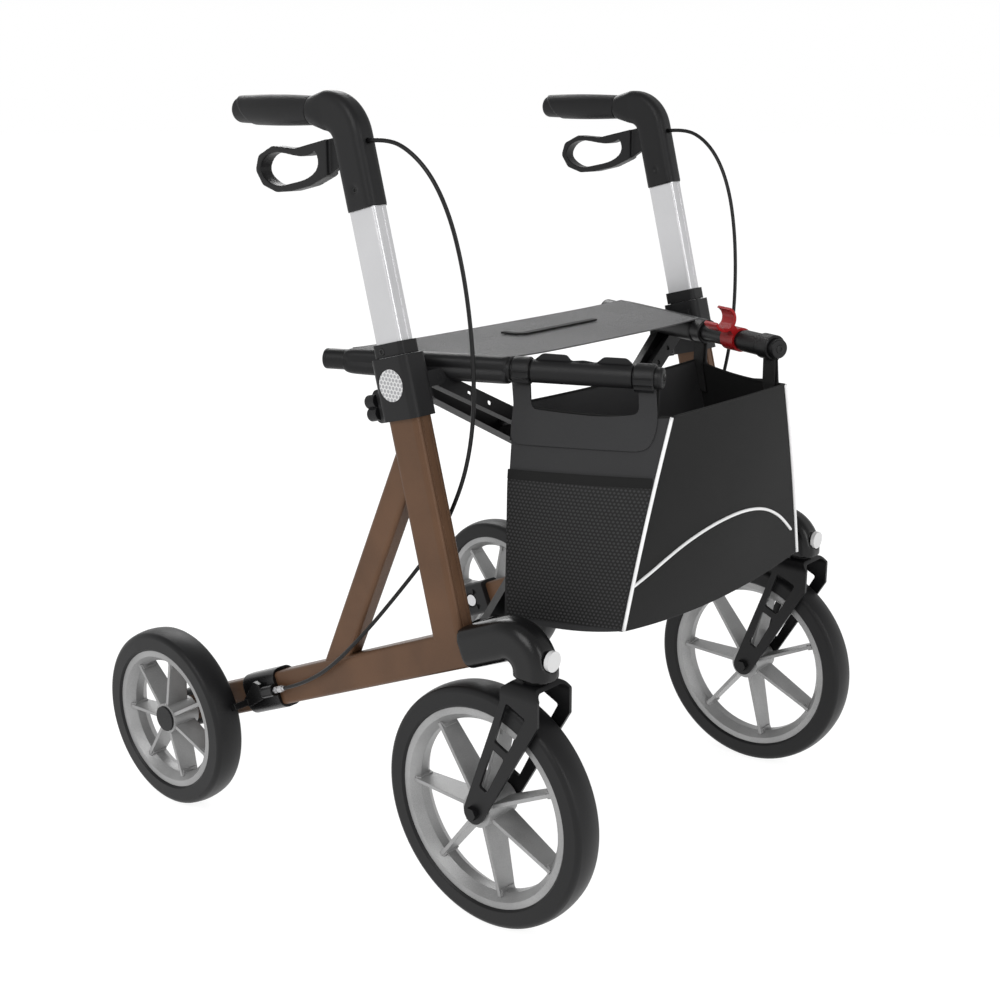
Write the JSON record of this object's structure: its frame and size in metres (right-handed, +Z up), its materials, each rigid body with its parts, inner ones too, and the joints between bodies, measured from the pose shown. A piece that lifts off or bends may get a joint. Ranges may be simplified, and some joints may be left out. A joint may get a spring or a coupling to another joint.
{
  "type": "folding rollator",
  "caption": "Folding four-wheeled walking frame with seat, front bag, height-adjustable handles and cable brakes.",
  "frame": {"origin": "on the floor, under the middle of the overall width and length, in the unfolded position with the handles at their lowest", "axes": "+Z up; -Y is the front (bag side), +Y is where the user walks; the user's right hand is at -X"},
  "size_m": [0.708, 0.7849, 0.929],
  "materials": {
    "frame_paint": "satin",
    "tube_silver": "satin",
    "black_plastic": "satin",
    "black_gloss": "gloss",
    "grip": "matte",
    "black_metal": "satin",
    "rim_silver": "satin",
    "tyre": "satin",
    "steel": "satin",
    "reflector": "gloss",
    "red_plastic": "satin",
    "seat_fabric": "matte",
    "bag_fabric": "matte",
    "cable": "satin"
  },
  "bodies": {
    "right_side": {"right_frame": "frame_paint", "right_clamp_housing": "black_plastic", "right_reflectors": "reflector", "right_fork_head": "black_gloss", "right_brake_housing": "black_gloss", "right_axle_block": "black_plastic", "right_rear_axle": "steel", "right_brake_cable": "cable", "right_cable_adjuster": "steel"},
    "right_handle": {"right_handle_tube": "tube_silver", "right_handle_body": "black_plastic", "right_grip": "grip", "right_stop_collar": "black_plastic"},
    "right_lever": {"right_brake_lever": "black_plastic"},
    "right_knob": {"right_clamp_knob": "black_plastic"},
    "right_shoe": {"right_brake_shoe": "black_gloss"},
    "right_caster": {"right_fork": "black_metal", "right_front_axle": "steel"},
    "right_front_wheel": {"right_front_rim": "rim_silver", "right_front_tyre": "tyre", "right_front_bearings": "steel"},
    "right_rear_wheel": {"right_rear_rim": "rim_silver", "right_rear_tyre": "tyre", "right_rear_bearings": "steel", "right_rear_hub_cap": "black_plastic"},
    "left_side": {"left_frame": "frame_paint", "left_clamp_housing": "black_plastic", "left_reflectors": "reflector", "left_fork_head": "black_gloss", "left_brake_housing": "black_gloss", "left_axle_block": "black_plastic", "left_rear_axle": "steel", "left_brake_cable": "cable", "left_cable_adjuster": "steel"},
    "left_handle": {"left_handle_tube": "tube_silver", "left_handle_body": "black_plastic", "left_grip": "grip", "left_stop_collar": "black_plastic"},
    "left_lever": {"left_brake_lever": "black_plastic"},
    "left_knob": {"left_clamp_knob": "black_plastic"},
    "left_shoe": {"left_brake_shoe": "black_gloss"},
    "left_caster": {"left_fork": "black_metal", "left_front_axle": "steel"},
    "left_front_wheel": {"left_front_rim": "rim_silver", "left_front_tyre": "tyre", "left_front_bearings": "steel"},
    "left_rear_wheel": {"left_rear_rim": "rim_silver", "left_rear_tyre": "tyre", "left_rear_bearings": "steel", "left_rear_hub_cap": "black_plastic"},
    "cross_a": {"cross_bar_a": "black_metal", "cross_pivot": "steel", "seat_tube_caps_a": "black_plastic", "fold_clip": "red_plastic", "seat": "seat_fabric"},
    "cross_b": {"cross_bar_b": "black_metal", "seat_tube_caps_b": "black_plastic"},
    "bag": {"bag": "bag_fabric"},
    "right_link": {"right_link": "black_plastic"},
    "left_link": {"left_link": "black_plastic"}
  },
  "joints": [
    {"name": "fold", "type": "hinge", "parent": "right_side", "child": "cross_a", "pos_m": [-0.24, -0.2025, 0.335], "axis": [0, -0.9438, 0.3305], "range_deg": [0, 50.72], "deforming": ["seat", "bag"]},
    {"name": "cross_scissor", "type": "hinge", "parent": "cross_a", "child": "cross_b", "pos_m": [0, -0.15417, 0.473], "axis": [0, -0.9438, 0.3305], "range_deg": [-101.43, 0]},
    {"name": "left_side_hinge", "type": "hinge", "parent": "cross_b", "child": "left_side", "pos_m": [0.24, -0.2025, 0.335], "axis": [0, -0.9438, 0.3305], "range_deg": [0, 50.72]},
    {"name": "bag_hang", "type": "hinge", "parent": "cross_b", "child": "bag", "pos_m": [-0.22759, -0.10059, 0.626], "axis": [0, -0.9438, 0.3305], "range_deg": [0, 50.72]},
    {"name": "right_link_hinge", "type": "hinge", "parent": "right_side", "child": "right_link", "pos_m": [-0.245, -0.13048, 0.616], "axis": [0, -0.9438, 0.3305], "range_deg": [0, 109.14]},
    {"name": "left_link_hinge", "type": "hinge", "parent": "left_side", "child": "left_link", "pos_m": [0.245, -0.13048, 0.616], "axis": [0, -0.9438, 0.3305], "range_deg": [-109.14, 0]},
    {"name": "right_handle_height", "type": "slide", "parent": "right_side", "child": "right_handle", "axis": [0, 0.2504, 0.9681], "range_m": [0, 0.12], "deforming": ["right_brake_cable"]},
    {"name": "right_lever_squeeze", "type": "hinge", "parent": "right_handle", "child": "right_lever", "pos_m": [-0.285, -0.04443, 0.86746], "axis": [1, 0, 0], "range_deg": [0, 10], "stiffness_Nm_per_rad": 2, "springref_deg": -2.86},
    {"name": "right_shoe_slide", "type": "slide", "parent": "right_side", "child": "right_shoe", "axis": [0, 0.9205, -0.3907], "range_m": [0, 0.0045], "stiffness_N_per_m": 400, "springref_m": -0.002},
    {"name": "right_knob_turn", "type": "hinge", "parent": "right_side", "child": "right_knob", "pos_m": [-0.285, -0.10412, 0.5887], "axis": [0, 0.9681, -0.2504], "continuous": true},
    {"name": "right_caster_swivel", "type": "hinge", "parent": "right_side", "child": "right_caster", "pos_m": [-0.285, -0.3135, 0.3], "axis": [0, 0, 1], "continuous": true},
    {"name": "right_front_wheel_spin", "type": "hinge", "parent": "right_caster", "child": "right_front_wheel", "pos_m": [-0.285, -0.2475, 0.145], "axis": [1, 0, 0], "continuous": true},
    {"name": "right_rear_wheel_spin", "type": "hinge", "parent": "right_side", "child": "right_rear_wheel", "pos_m": [-0.334, 0.2725, 0.12], "axis": [1, 0, 0], "continuous": true},
    {"name": "left_handle_height", "type": "slide", "parent": "left_side", "child": "left_handle", "axis": [0, 0.2504, 0.9681], "range_m": [0, 0.12], "deforming": ["left_brake_cable"]},
    {"name": "left_lever_squeeze", "type": "hinge", "parent": "left_handle", "child": "left_lever", "pos_m": [0.285, -0.04443, 0.86746], "axis": [1, 0, 0], "range_deg": [0, 10], "stiffness_Nm_per_rad": 2, "springref_deg": -2.86},
    {"name": "left_shoe_slide", "type": "slide", "parent": "left_side", "child": "left_shoe", "axis": [0, 0.9205, -0.3907], "range_m": [0, 0.0045], "stiffness_N_per_m": 400, "springref_m": -0.002},
    {"name": "left_knob_turn", "type": "hinge", "parent": "left_side", "child": "left_knob", "pos_m": [0.285, -0.10412, 0.5887], "axis": [0, 0.9681, -0.2504], "continuous": true},
    {"name": "left_caster_swivel", "type": "hinge", "parent": "left_side", "child": "left_caster", "pos_m": [0.285, -0.3135, 0.3], "axis": [0, 0, 1], "continuous": true},
    {"name": "left_front_wheel_spin", "type": "hinge", "parent": "left_caster", "child": "left_front_wheel", "pos_m": [0.285, -0.2475, 0.145], "axis": [1, 0, 0], "continuous": true},
    {"name": "left_rear_wheel_spin", "type": "hinge", "parent": "left_side", "child": "left_rear_wheel", "pos_m": [0.334, 0.2725, 0.12], "axis": [1, 0, 0], "continuous": true}
  ],
  "couplings": [
    {"joint": "cross_scissor", "follows": "fold", "ratio": -2},
    {"joint": "left_side_hinge", "follows": "fold", "ratio": 1},
    {"joint": "bag_hang", "follows": "fold", "ratio": 1},
    {"joint": "right_link_hinge", "follows": "fold", "ratio": 2.1519},
    {"joint": "left_link_hinge", "follows": "fold", "ratio": -2.1519},
    {"joint": "right_shoe_slide", "follows": "right_lever_squeeze", "m_per_rad": 0.02578},
    {"joint": "left_shoe_slide", "follows": "left_lever_squeeze", "m_per_rad": 0.02578}
  ]
}
